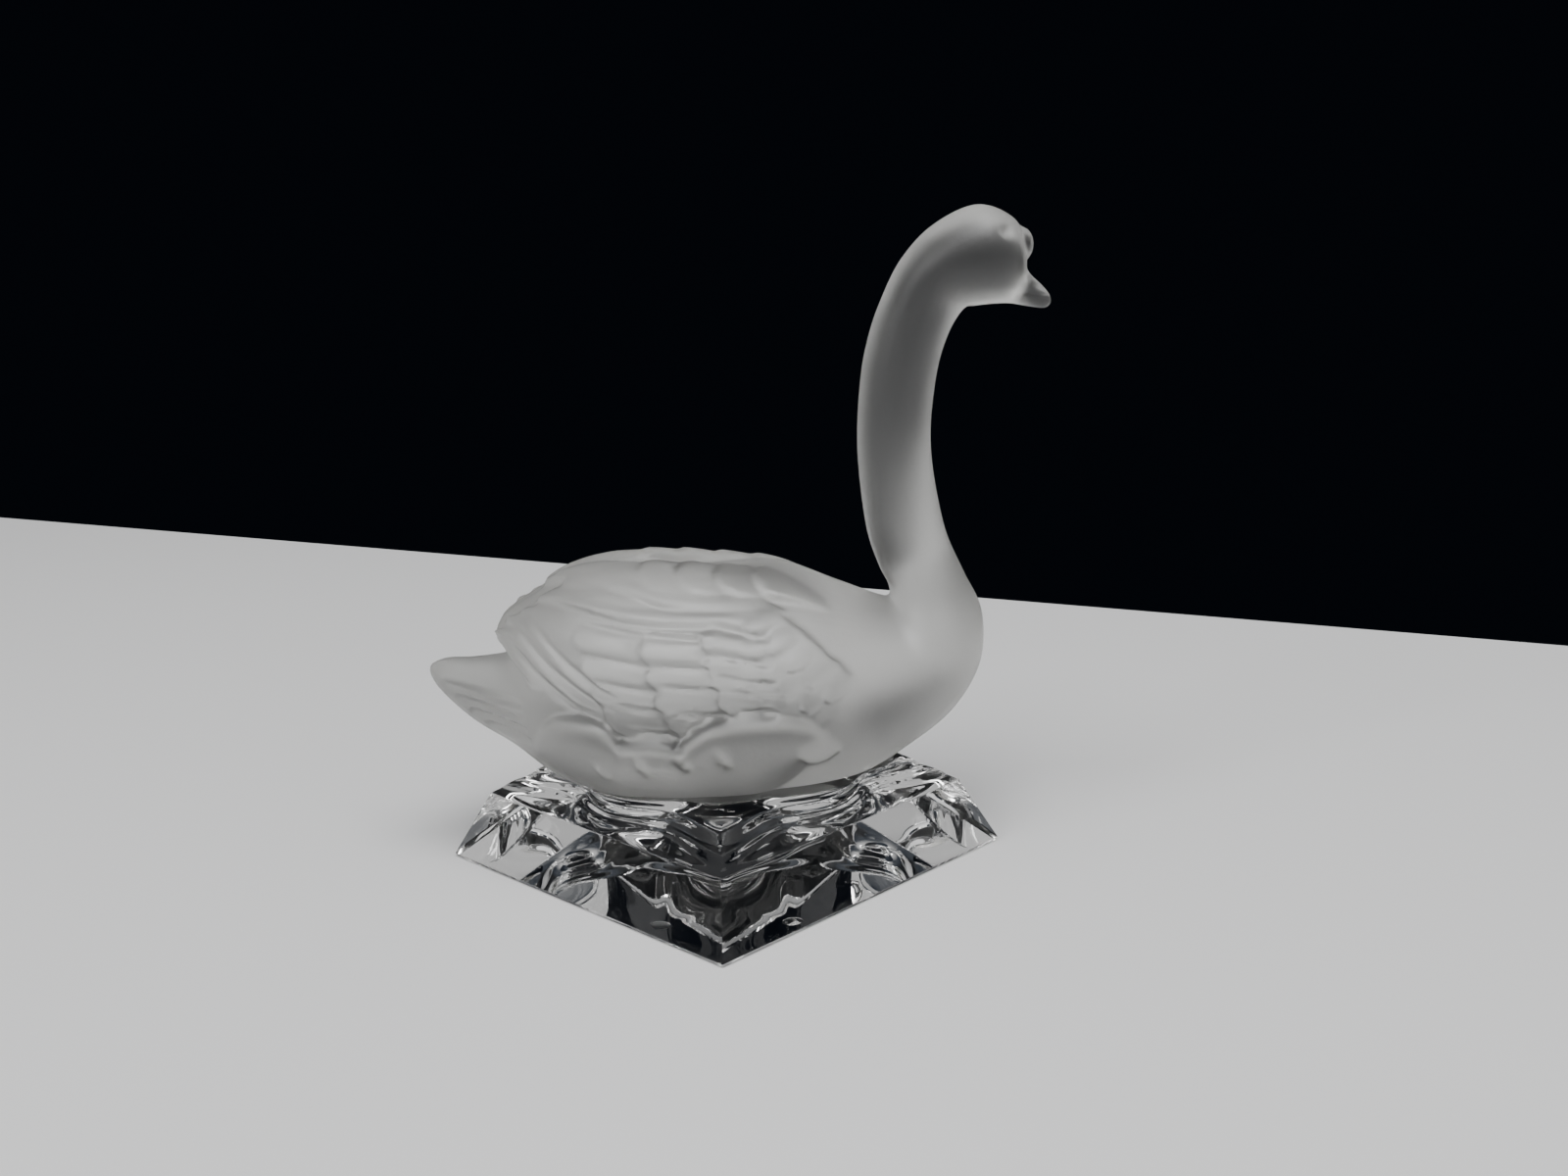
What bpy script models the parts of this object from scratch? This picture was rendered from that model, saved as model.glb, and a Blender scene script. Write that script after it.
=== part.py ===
"""Frosted crystal swan on a clear square base, cast as one piece of glass.

The swan faces +X and its plane of symmetry is y = 0. The origin is at the
centre of the base's underside, and the corners of the base lie on the X and
Y axes. Sizes are in metres; the swan's own lines are written in millimetres
above the water level and scaled to its height.
"""

import math

import bmesh
import bpy
from mathutils import Vector
from mathutils.bvhtree import BVHTree

# Base: a square slab with four flat sloped faces and rippled terraces on top
BASE_SIDE = 0.0707
BASE_FACE_HEIGHT = 0.0118
BASE_FACE_INSET = 0.0075
BASE_EDGE_ROUND = 0.0006
WATER_LEVEL = 0.0170
RIPPLE_DEPTH = 0.0019
RIPPLES_ROUND = 8
BASE_SPOKES = 64

# Swan: crown of the head above the water level, and the same height in the drawing
SWAN_HEIGHT = 0.0970
DRAWN_HEIGHT = 97.0

# Mesh fineness
FEATHER_CUTS = 9
SKIRT_RINGS = 48
PAD_RINGS = 40
RING_SPOKES = 36
RINGS_PER_STATION = 4
VOXEL = 0.00062
SOFTENING_STEPS = 2
SWAN_TRIANGLES = 7600

SWAN_UNIT = SWAN_HEIGHT / DRAWN_HEIGHT
BASE_HALF_DIAGONAL = BASE_SIDE / math.sqrt(2)

# The swan's lines from the tail to the tip of the bill, in drawn millimetres:
# name, back line (x, z), belly and breast line (x, z), half breadth
LINES = [
    ("tail tip", (-51.7, 19.4), (-51.8, 18.2), 0.8),
    ("tail feathers", (-48.8, 20.4), (-49.8, 15.0), 4.2),
    ("tail", (-43.5, 20.3), (-43.8, 9.6), 8.4),
    ("rump", (-36.0, 21.5), (-36.5, 5.2), 13.2),
    ("hip", (-28.0, 27.5), (-29.0, -0.8), 18.0),
    ("flank", (-16.0, 34.6), (-18.0, -6.0), 21.8),
    ("beam", (-3.0, 36.0), (-3.0, -7.5), 23.4),
    ("mantle", (10.0, 36.4), (12.0, -6.3), 22.6),
    ("shoulder", (20.5, 32.6), (24.0, -2.4), 19.6),
    ("neck notch", (28.0, 29.6), (34.8, 4.0), 16.0),
    ("breast", (30.2, 29.3), (41.8, 9.8), 13.2),
    ("breast front", (30.3, 30.6), (46.3, 17.8), 11.2),
    ("breast top", (29.8, 32.4), (46.5, 26.8), 9.2),
    ("neck base", (28.3, 35.5), (43.2, 34.2), 7.4),
    ("low neck", (26.2, 42.6), (39.9, 42.4), 6.7),
    ("mid neck", (24.9, 56.0), (37.7, 56.0), 6.1),
    ("high neck", (25.6, 68.0), (38.6, 67.8), 6.1),
    ("neck top", (27.1, 75.4), (40.7, 75.2), 6.3),
    ("throat", (29.3, 81.5), (43.4, 79.6), 6.7),
    ("nape", (32.8, 88.2), (45.2, 80.0), 7.2),
    ("back of crown", (38.2, 93.7), (47.2, 80.2), 7.3),
    ("crown", (45.6, 97.0), (48.9, 80.3), 6.8),
    ("forehead", (51.8, 94.6), (50.6, 80.3), 5.6),
    ("lore", (53.9, 90.0), (51.7, 80.2), 4.4),
    ("bill root", (54.2, 86.0), (53.2, 79.9), 3.2),
    ("bill", (56.8, 83.2), (55.4, 79.5), 2.6),
    ("bill end", (58.0, 81.7), (57.2, 79.3), 1.9),
    ("bill tip", (58.5, 80.6), (58.3, 79.9), 0.7),
]

# The folded wings as a dome: x, height of the widest point, height of the top, half breadth
WING_DOME = [
    (30.0, 21.0, 28.8, 13.5),
    (21.0, 19.0, 32.2, 20.0),
    (11.0, 16.8, 35.6, 23.4),
    (0.0, 15.6, 37.2, 24.2),
    (-11.0, 15.6, 38.0, 23.8),
    (-20.0, 17.0, 37.4, 21.4),
    (-27.0, 19.6, 35.4, 17.8),
    (-34.0, 22.6, 31.4, 13.2),
    (-42.0, 25.4, 27.6, 7.0),
]
DOME_POWER = 2.3

# Wing feathers in the side view, drawn millimetres: tip (x, z), root (x, z), bow
PRIMARIES = [
    ((-38.4, 27.4), (-19.0, 12.2), 1.6),
    ((-36.4, 29.2), (-17.5, 14.6), 1.6),
    ((-33.6, 30.6), (-16.5, 17.0), 1.4),
    ((-31.0, 31.6), (-16.0, 19.4), 1.2),
]
TERTIALS = [
    ((-30.8, 32.4), (3.0, 28.4), 1.2),
    ((-30.0, 34.4), (5.0, 30.6), 0.8),
    ((-27.6, 36.0), (7.0, 33.0), 0.4),
]
# Columns of secondaries: x of the tips at top and bottom, length, slope, grooves between them
SECONDARIES = [
    ((-24.6, -17.8), 14.0, 2.0, (29.6, 24.9, 20.6, 17.0, 13.0)),
    ((-13.2, -6.0), 14.0, 1.4, (28.4, 23.9, 20.4, 16.0, 13.6, 10.6)),
    ((-2.8, 1.6), 13.0, 2.4, (29.0, 25.0, 21.4, 19.0, 16.0, 12.6)),
]
# Outline of the folded wing in the side view: x, lowest and highest z
WING_OUTLINE = [
    (-39.0, 26.9, 27.7),
    (-36.6, 24.3, 34.0),
    (-33.1, 20.2, 38.0),
    (-29.3, 16.9, 38.0),
    (-25.5, 13.9, 38.0),
    (-22.2, 11.8, 38.0),
    (-19.0, 5.0, 38.0),
    (7.7, 5.0, 33.5),
    (16.0, 5.0, 26.9),
    (24.0, 8.0, 18.4),
]
COVERT_EDGE = ((9.4, 32.0), (23.4, 19.0))
COVERT_ROWS = 3
COVERTS_IN_ROW = 6
BACK_FEATHERS = 6
# Lobes of the soft skirt over the wing's lower edge: start x, end x, top z
FLANK_LOBES = [
    (-33.0, -15.0, 15.2),
    (-22.5, -2.5, 11.8),
    (-9.5, 20.0, 15.2),
]
SKIRT_LOW = -3.0
SKIRT_PROUD = 2.6
SKIRT_FEATHERS = 5
# Grooves between the tail's feathers in the side view: tip (x, z), root (x, z)
TAIL_GROOVES = [
    ((-49.0, 17.4), (-33.6, 15.6)),
    ((-46.4, 15.2), (-33.2, 13.3)),
    ((-43.8, 13.2), (-32.8, 11.2)),
    ((-41.0, 11.2), (-32.4, 9.2)),
]
GROOVE_WIDTH = 0.5
GROOVE_DEPTH = 0.55

# Knob over the bill and eye hollows, drawn millimetres
KNOB_CENTRE = (53.0, 0.0, 90.1)
KNOB_RADII = (2.3, 2.3, 3.0)
EYE_CENTRE = (50.4, 6.0, 92.0)
EYE_RADIUS = 1.7
EYE_DEPTH = 0.7


def clear_scene():
    for thing in list(bpy.data.objects):
        bpy.data.objects.remove(thing, do_unlink=True)


def collection(name):
    group = bpy.data.collections.new(name)
    bpy.context.scene.collection.children.link(group)
    return group


def material(name, colour, roughness, transmission):
    made = bpy.data.materials.new(name)
    made.use_nodes = True
    shader = made.node_tree.nodes["Principled BSDF"]
    shader.inputs["Base Color"].default_value = (*colour, 1.0)
    shader.inputs["Roughness"].default_value = roughness
    shader.inputs["Transmission Weight"].default_value = transmission
    shader.inputs["IOR"].default_value = 1.52
    return made


def swan_point(x, y, z):
    """A point of the swan's drawing in metres, in the part's frame."""
    return Vector((x * SWAN_UNIT, y * SWAN_UNIT, z * SWAN_UNIT + WATER_LEVEL))


def curve_through(values, t):
    """Smooth curve through equally spaced values at parameter t, Catmull-Rom."""
    last = len(values) - 1
    i = min(int(t), last - 1)
    f = t - i
    before = values[max(i - 1, 0)]
    here = values[i]
    after = values[i + 1]
    beyond = values[min(i + 2, last)]
    slope_here = (after - before) / 2
    slope_after = (beyond - here) / 2
    return (
        here * (2 * f**3 - 3 * f**2 + 1)
        + slope_here * (f**3 - 2 * f**2 + f)
        + after * (3 * f**2 - 2 * f**3)
        + slope_after * (f**3 - f**2)
    )


def powered(value, power):
    return math.copysign(abs(value) ** power, value)


def lofted_solid(name, rings, group):
    """A closed mesh through rings of equal length, with a point at each end."""
    bm = bmesh.new()
    made = [[bm.verts.new(p) for p in ring] for ring in rings]
    ends = [bm.verts.new(sum(ring, Vector()) / len(ring)) for ring in (rings[0], rings[-1])]
    count = len(rings[0])
    for ring, following in zip(made, made[1:]):
        for k in range(count):
            n = (k + 1) % count
            bm.faces.new((ring[k], ring[n], following[n], following[k]))
    for k in range(count):
        n = (k + 1) % count
        bm.faces.new((ends[0], made[0][n], made[0][k]))
        bm.faces.new((ends[1], made[-1][k], made[-1][n]))
    bmesh.ops.recalc_face_normals(bm, faces=bm.faces)
    mesh = bpy.data.meshes.new(name)
    bm.to_mesh(mesh)
    bm.free()
    thing = bpy.data.objects.new(name, mesh)
    group.objects.link(thing)
    return thing


def body_neck_and_head(group):
    """One long loft between the back line and the breast line, tail tip to bill tip."""
    back_x = [row[1][0] for row in LINES]
    back_z = [row[1][1] for row in LINES]
    front_x = [row[2][0] for row in LINES]
    front_z = [row[2][1] for row in LINES]
    breadth = [row[3] for row in LINES]
    steps = (len(LINES) - 1) * RINGS_PER_STATION
    rings = []
    for step in range(steps + 1):
        t = step / RINGS_PER_STATION
        back = Vector((curve_through(back_x, t), 0, curve_through(back_z, t)))
        front = Vector((curve_through(front_x, t), 0, curve_through(front_z, t)))
        half = (back - front) / 2
        middle = (back + front) / 2
        across = curve_through(breadth, t)
        ring = []
        for k in range(RING_SPOKES):
            turn = 2 * math.pi * k / RING_SPOKES
            spot = middle + half * math.cos(turn)
            ring.append(swan_point(spot.x, across * math.sin(turn), spot.z))
        rings.append(ring)
    return lofted_solid("body", rings, group)


def dome_at(x):
    """Widest height, top height and half breadth of the wings' dome at x."""
    rows = WING_DOME
    x = min(max(x, rows[-1][0]), rows[0][0])
    i = 0
    while i < len(rows) - 2 and x < rows[i + 1][0]:
        i += 1
    t = i + (rows[i][0] - x) / (rows[i][0] - rows[i + 1][0])
    return [curve_through([row[k] for row in rows], t) for k in (1, 2, 3)]


def dome_turn(x, z):
    """The angle round the dome, 0 at its widest and 90 degrees on top, at side-view x, z."""
    wide, top, _ = dome_at(x)
    share = min(max((z - wide) / (top - wide), -0.9), 1.0)
    return math.asin(powered(share, DOME_POWER / 2))


def dome_point(x, turn, lift):
    """A point on the near wing, lifted off the dome by a number of millimetres."""
    wide, top, broad = dome_at(x)
    y = broad * powered(math.cos(turn), 2 / DOME_POWER)
    z = wide + (top - wide) * powered(math.sin(turn), 2 / DOME_POWER)
    out_y = math.cos(turn) * lift
    out_z = math.sin(turn) * lift
    return Vector((x, -(y + out_y), z + out_z))


def feather(place, length, width, lift, edge, group, thick=3.2, point=0.55, sink=1.3):
    """A thin slab with a rounded tip, laid on a surface by place(along, across, height).

    Its root is sunk under the surface, its tip stands proud by lift and its
    lower edge by edge, so that a row of them overlaps like shingles.
    """
    bm = bmesh.new()
    bmesh.ops.create_cube(bm, size=2.0)
    bmesh.ops.subdivide_edges(bm, edges=bm.edges, cuts=FEATHER_CUTS, use_grid_fill=True)
    for vert in bm.verts:
        along = (vert.co.x + 1) / 2
        start = point if vert.co.y > 0 else 0.5 + point / 2
        past = max(0.0, (along - start) / (1 - start))
        half = width / 2 * math.sqrt(1 - 0.9 * past**2.2)
        proud = lift * along - sink * (1 - along) ** 2 + edge * vert.co.y
        deep = thick * (1 - 0.5 * along**3) * (1 - vert.co.z) / 2
        height = proud + 0.3 * (1 - vert.co.y**2) - deep
        spot = place(along * length, vert.co.y * half, height)
        vert.co = swan_point(spot.x, spot.y, spot.z)
    bmesh.ops.recalc_face_normals(bm, faces=bm.faces)
    mesh = bpy.data.meshes.new("feather")
    bm.to_mesh(mesh)
    bm.free()
    thing = bpy.data.objects.new("feather", mesh)
    group.objects.link(thing)
    return thing


def wing_feather(root, tip, width, lift, edge, group, bow=0.0, point=0.55, sink=1.3):
    """A feather on the wing's dome from root to tip, both (x, z) as seen from the side.

    Bow swings its middle down and back.
    """
    turn_root = dome_turn(*root)
    around = dome_at((root[0] + tip[0]) / 2)[2] * 0.95
    run = Vector((tip[0] - root[0], (dome_turn(*tip) - turn_root) * around))
    length = run.length
    ux, uq = run / length

    def place(along, across, height):
        aside = across + bow * math.sin(math.pi * along / length)
        x = root[0] + along * ux - aside * uq
        q = along * uq + aside * ux
        return dome_point(x, turn_root + q / around, height)

    return feather(place, length, width, lift, edge, group, point=point, sink=sink)


def wing_feathers(group):
    """All feathers of the near wing, from the tips of the primaries to the shoulder."""
    made = []
    for tip, root, bow in PRIMARIES:
        made.append(wing_feather(root, tip, 3.4, 0.3, 0.45, group, bow=bow, point=0.9))
    for (tip_top, tip_low), length, slope, grooves in SECONDARIES:
        for k, (upper, lower) in enumerate(zip(grooves, grooves[1:])):
            share = (k + 0.5) / (len(grooves) - 1)
            tip_x = tip_top + (tip_low - tip_top) * share**1.4
            middle = (upper + lower) / 2
            tip = (tip_x, middle + slope / 2)
            root = (tip_x + length, middle - slope / 2)
            width = (upper - lower) * 1.35
            made.append(wing_feather(root, tip, width, 0.3, 0.65, group))
    for tip, root, bow in TERTIALS:
        made.append(wing_feather(root, tip, 6.8, 0.6, 0.5, group, bow=bow, point=0.85))
    (top_x, top_z), (low_x, low_z) = COVERT_EDGE
    for row in range(COVERT_ROWS):
        for k in range(COVERTS_IN_ROW):
            share = (k + 0.5 * (row % 2)) / (COVERTS_IN_ROW - 0.5)
            edge_x = top_x + (low_x - top_x) * share
            edge_z = top_z + (low_z - top_z) * share
            back = 0.5 - 2.5 * row
            root = (edge_x + back, edge_z + back)
            tip = (root[0] - 3.7, root[1] - 3.4)
            made.append(wing_feather(root, tip, 3.4, 0.55, 0.3, group, sink=0.9))
    return made


def back_feathers(group):
    """The inner edge of the near wing along the back, in overlapping long feathers."""
    made = []
    for k in range(BACK_FEATHERS):
        tip_x = -26.4 + 6.6 * k

        def place(along, across, height, tip_x=tip_x):
            x = tip_x + 14.0 - along
            return dome_point(x, math.radians(71) - across / 21.0, height)

        made.append(feather(place, 14.0, 9.4, 0.75, 0.0, group, point=0.7))
    return made


def wing_outline(x):
    """Lowest and highest z of the folded wing at x in the side view."""
    for (x0, low0, high0), (x1, low1, high1) in zip(WING_OUTLINE, WING_OUTLINE[1:]):
        if x <= x1:
            share = (x - x0) / (x1 - x0)
            return low0 + (low1 - low0) * share, high0 + (high1 - high0) * share
    return WING_OUTLINE[-1][1:]


def wing_pad(group):
    """The solid wing under its feathers: a thick shell just inside the dome."""
    rear = WING_OUTLINE[0][0]
    front = WING_OUTLINE[-1][0]
    rings = []
    for k in range(PAD_RINGS + 1):
        share = k / PAD_RINGS
        x = rear + (front - rear) * share
        low, high = wing_outline(x)
        start = max(dome_turn(x, low), math.radians(-25))
        end = min(dome_turn(x, high), math.radians(82))
        deep = -0.2 - 1.2 * abs(2 * share - 1) ** 16
        outer = []
        inner = []
        for j in range(RING_SPOKES // 2):
            turn = start + (end - start) * j / (RING_SPOKES // 2 - 1)
            outer.append(dome_point(x, turn, deep))
            inner.append(dome_point(x, turn, deep - 4.0))
        ring = outer + inner[::-1]
        rings.append([swan_point(p.x, p.y, p.z) for p in ring])
    return lofted_solid("pad", rings, group)


def side_finder(body):
    """A function that gives the near side's y of the body at side-view x, z."""
    bm = bmesh.new()
    bm.from_mesh(body.data)
    tree = BVHTree.FromBMesh(bm)
    bm.free()

    def side(x, z):
        hit = tree.ray_cast(swan_point(x, -100.0, z), Vector((0, 1, 0)))[0]
        return 0.0 if hit is None else hit.y / SWAN_UNIT

    return side


def side_feather(root, tip, width, lift, side, group):
    """A feather on the near side of the body, from root to tip, both (x, z)."""
    run = Vector((tip[0] - root[0], tip[1] - root[1]))
    length = run.length
    ux, uz = run / length

    def place(along, across, height):
        x = root[0] + along * ux - across * uz
        z = root[1] + along * uz + across * ux
        return Vector((x, side(x, z) - height, z))

    return feather(place, length, width, lift, 0.0, group, point=0.4)


def skirt_top(x):
    """Height of the skirt's scalloped upper edge at x."""
    heights = []
    for start, end, top in FLANK_LOBES:
        share = min(max((x - start) / (end - start), 0.0), 1.0)
        heights.append(top * (1 - abs(2 * share - 1) ** 2.6) ** 0.5)
    return max(heights)


def flank_skirt(side, group):
    """The soft roll of small feathers that bulges out under the wing."""
    start = FLANK_LOBES[0][0]
    end = FLANK_LOBES[-1][1]
    rings = []
    for k in range(SKIRT_RINGS + 1):
        share = k / SKIRT_RINGS
        x = start + (end - start) * share
        full = (1 - abs(2 * share - 1) ** 4) ** 0.5
        low = SKIRT_LOW
        while side(x, low) == 0.0:
            low += 0.5
        half = max(skirt_top(x) - low, 0.3) / 2
        ring = []
        for j in range(RING_SPOKES):
            turn = 2 * math.pi * j / RING_SPOKES
            z = low + half + half * math.sin(turn)
            out = (SKIRT_PROUD + 1.0) * full * powered(math.cos(turn), 0.55) - 1.0
            deep = 4.0 * math.cos(turn) - 1.0
            y = side(x, z) - (out if math.cos(turn) > 0 else deep)
            ring.append(swan_point(x, y, z))
        rings.append(ring)
    return lofted_solid("skirt", rings, group)


def flank_feathers(side, group):
    """The soft skirt that bulges out under the wing, above the water."""
    made = [flank_skirt(side, group)]
    for k in range(SKIRT_FEATHERS):
        tip = (-20.0 + 6.8 * k, 5.0 + 2.8 * math.sin(0.5 * k))
        root = (tip[0] + 6.0, tip[1] + 5.6)
        made.append(side_feather(root, tip, 7.6, SKIRT_PROUD + 0.2, side, group))
    return made


def groove_depth(x, z):
    """Depth of the grooves between the tail's feathers at side-view x, z."""
    if z > wing_outline(x)[0] - 0.5:
        return 0.0
    depth = 0.0
    for (tip_x, tip_z), (root_x, root_z) in TAIL_GROOVES:
        share = (x - tip_x) / (root_x - tip_x)
        if 0 < share < 1:
            off = (z - tip_z - (root_z - tip_z) * share) / GROOVE_WIDTH
            fade = math.sqrt(math.sin(math.pi * share))
            depth = max(depth, GROOVE_DEPTH * fade * math.exp(-(off**2)))
    return depth


def carved(swan):
    """Presses the tail's grooves and the eye hollows into the swan's skin."""
    bm = bmesh.new()
    bm.from_mesh(swan.data)
    bm.normal_update()
    eye = Vector(EYE_CENTRE)
    for vert in bm.verts:
        x = vert.co.x / SWAN_UNIT
        z = (vert.co.z - WATER_LEVEL) / SWAN_UNIT
        apart = (Vector((x, abs(vert.co.y) / SWAN_UNIT, z)) - eye).length / EYE_RADIUS
        depth = EYE_DEPTH * math.exp(-(apart**2))
        if x < TAIL_GROOVES[-1][1][0]:
            depth += groove_depth(x, z)
        vert.co -= vert.normal * depth * SWAN_UNIT
    bm.to_mesh(swan.data)
    bm.free()


def ellipsoid(name, centre, radii, group):
    bm = bmesh.new()
    bmesh.ops.create_uvsphere(bm, u_segments=16, v_segments=10, radius=1.0)
    for vert in bm.verts:
        spot = [c + r * v for c, r, v in zip(centre, radii, vert.co)]
        vert.co = swan_point(*spot)
    mesh = bpy.data.meshes.new(name)
    bm.to_mesh(mesh)
    bm.free()
    thing = bpy.data.objects.new(name, mesh)
    group.objects.link(thing)
    return thing


def mirrored(things, group):
    """Copies of the near side's pieces on the far side."""
    made = []
    for thing in things:
        mesh = thing.data.copy()
        for vert in mesh.vertices:
            vert.co.y = -vert.co.y
        mesh.flip_normals()
        copy = bpy.data.objects.new(thing.name + "_far", mesh)
        group.objects.link(copy)
        made.append(copy)
    return made


def joined(things, name, group):
    """One object with the meshes of all the others, which go."""
    bm = bmesh.new()
    for thing in things:
        bm.from_mesh(thing.data)
    mesh = bpy.data.meshes.new(name)
    bm.to_mesh(mesh)
    bm.free()
    for thing in things:
        bpy.data.objects.remove(thing, do_unlink=True)
    made = bpy.data.objects.new(name, mesh)
    group.objects.link(made)
    return made


def baked(thing):
    """Replaces an object's mesh by its evaluated one and drops its modifiers."""
    graph = bpy.context.evaluated_depsgraph_get()
    mesh = bpy.data.meshes.new_from_object(thing.evaluated_get(graph))
    thing.modifiers.clear()
    thing.data = mesh


def sculpted_swan(group):
    """The swan's pieces fused into one skin, carved, softened and thinned to few triangles."""
    body = body_neck_and_head(group)
    side = side_finder(body)
    near = [wing_pad(group)] + wing_feathers(group) + back_feathers(group)
    near += flank_feathers(side, group)
    things = [body] + near + mirrored(near, group)
    things.append(ellipsoid("knob", KNOB_CENTRE, KNOB_RADII, group))
    swan = joined(things, "swan", group)

    fuse = swan.modifiers.new("fuse", "REMESH")
    fuse.mode = "VOXEL"
    fuse.voxel_size = VOXEL
    soften = swan.modifiers.new("soften", "SMOOTH")
    soften.factor = 0.5
    soften.iterations = SOFTENING_STEPS
    baked(swan)
    carved(swan)
    split = swan.modifiers.new("split", "TRIANGULATE")
    split.quad_method = "BEAUTY"
    baked(swan)
    thin = swan.modifiers.new("thin", "DECIMATE")
    thin.ratio = SWAN_TRIANGLES / len(swan.data.polygons)
    baked(swan)
    return swan


def terrace_reach(turn, reach_x, reach_y, roundness, wave):
    """Distance from the axis to a terrace's edge in one direction.

    Roundness 1 is a square on its corner and 2 an ellipse. The wave runs in
    and out along each side, out at the corners and in the middle.
    """
    c = abs(math.cos(turn))
    s = abs(math.sin(turn))
    plain = ((c / reach_x) ** roundness + (s / reach_y) ** roundness) ** (-1 / roundness)
    side = s / (c + s)
    return plain * (1 + wave / reach_x * math.cos(RIPPLES_ROUND / 4 * 2 * math.pi * side))


def rippled_base(group):
    """The clear base: sloped flat faces, and water-like terraces up to the swan."""
    low = BASE_HALF_DIAGONAL
    rim = low - BASE_FACE_INSET
    rise = WATER_LEVEL - BASE_FACE_HEIGHT
    bevel = BASE_EDGE_ROUND
    face = BASE_FACE_INSET / BASE_FACE_HEIGHT
    # reach in x, reach in y, roundness, wave, height
    courses = [
        (low - bevel * 1.4, low - bevel * 1.4, 1.0, 0.0, 0.0),
        (low - bevel * face, low - bevel * face, 1.0, 0.0, bevel),
        (rim, rim, 1.0, 0.0, BASE_FACE_HEIGHT),
        (rim - 0.0032, rim - 0.0032, 1.02, RIPPLE_DEPTH * 0.5, BASE_FACE_HEIGHT + rise * 0.14),
        (rim - 0.0042, rim - 0.0042, 1.04, RIPPLE_DEPTH * 0.9, BASE_FACE_HEIGHT + rise * 0.36),
        (rim - 0.0052, rim - 0.0052, 1.05, RIPPLE_DEPTH, BASE_FACE_HEIGHT + rise * 0.42),
        (rim - 0.0076, rim - 0.0076, 1.08, RIPPLE_DEPTH, BASE_FACE_HEIGHT + rise * 0.50),
        (rim - 0.0086, rim - 0.0086, 1.12, RIPPLE_DEPTH, BASE_FACE_HEIGHT + rise * 0.72),
        (rim - 0.0096, rim - 0.0098, 1.15, RIPPLE_DEPTH, BASE_FACE_HEIGHT + rise * 0.78),
        (rim - 0.0100, rim - 0.0150, 1.40, RIPPLE_DEPTH * 0.8, BASE_FACE_HEIGHT + rise * 0.84),
        (rim - 0.0108, rim - 0.0196, 1.80, RIPPLE_DEPTH * 0.4, BASE_FACE_HEIGHT + rise * 0.96),
        (rim - 0.0120, rim - 0.0206, 1.90, RIPPLE_DEPTH * 0.2, WATER_LEVEL),
    ]
    rings = []
    for reach_x, reach_y, roundness, wave, height in courses:
        ring = []
        for k in range(BASE_SPOKES):
            turn = 2 * math.pi * k / BASE_SPOKES
            reach = terrace_reach(turn, reach_x, reach_y, roundness, wave)
            ring.append(Vector((reach * math.cos(turn), reach * math.sin(turn), height)))
        rings.append(ring)
    return lofted_solid("base", rings, group)


def build():
    clear_scene()
    group = collection("swan_figurine_parts")
    swan = sculpted_swan(group)
    base = rippled_base(group)
    cut = swan.modifiers.new("one casting", "BOOLEAN")
    cut.operation = "UNION"
    cut.solver = "EXACT"
    cut.object = base
    baked(swan)
    bpy.data.objects.remove(base, do_unlink=True)
    swan.name = "swan_figurine"
    swan.data.name = "swan_figurine"
    swan.data.materials.clear()
    swan.data.materials.append(material("satin_crystal", (0.86, 0.87, 0.86), 0.5, 0.8))
    print("triangles", sum(len(p.vertices) - 2 for p in swan.data.polygons))


build()
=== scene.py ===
# %% [markdown]
# # A frosted crystal swan on a clear base
#
# The object is one casting of glass. The swan is etched to a satin white, and
# the square base under it is left clear and polished, with ripples round the
# swan as if it sat on water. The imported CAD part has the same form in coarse
# triangles. This lesson builds the form again with finer feathers, gives it
# the two finishes, and sets it on a pale floor with soft light above it.

import math

import bpy
import numpy as np
from mathutils import Matrix, Vector
from mathutils.bvhtree import BVHTree


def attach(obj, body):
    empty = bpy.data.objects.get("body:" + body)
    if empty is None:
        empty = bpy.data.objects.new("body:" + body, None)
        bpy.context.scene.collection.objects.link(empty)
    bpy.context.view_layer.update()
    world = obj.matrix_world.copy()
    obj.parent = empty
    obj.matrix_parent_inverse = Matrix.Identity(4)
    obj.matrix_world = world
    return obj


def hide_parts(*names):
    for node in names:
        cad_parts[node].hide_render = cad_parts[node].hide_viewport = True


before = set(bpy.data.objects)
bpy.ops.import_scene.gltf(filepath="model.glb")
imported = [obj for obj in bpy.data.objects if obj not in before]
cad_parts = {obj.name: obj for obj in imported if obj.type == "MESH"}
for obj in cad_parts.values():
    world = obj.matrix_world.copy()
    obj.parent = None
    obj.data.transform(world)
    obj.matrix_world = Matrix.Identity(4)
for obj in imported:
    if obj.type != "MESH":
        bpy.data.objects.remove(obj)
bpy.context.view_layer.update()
bpy.ops.object.select_all(action="DESELECT")

# %% [markdown]
# ## The camera
#
# A camera is found by matching points whose place is known. The corners of
# the square base are good ones: with them the picture gives the distance, how
# far the camera looks down, and how much it leans. The numbers are kept as
# angles, so that each can be read and changed by itself.

# %% Find where the camera stands
PHOTO_WIDTH = 1600
PHOTO_HEIGHT = 1200
FOCAL_PIXELS = 1750.0
CAMERA_DISTANCE = 0.314
LOOK_DOWN = math.radians(13.3)
LEAN = math.radians(-1.45)
SWING = math.radians(-0.72)
ORIGIN_PIXEL = (742.0, 865.0)

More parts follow.
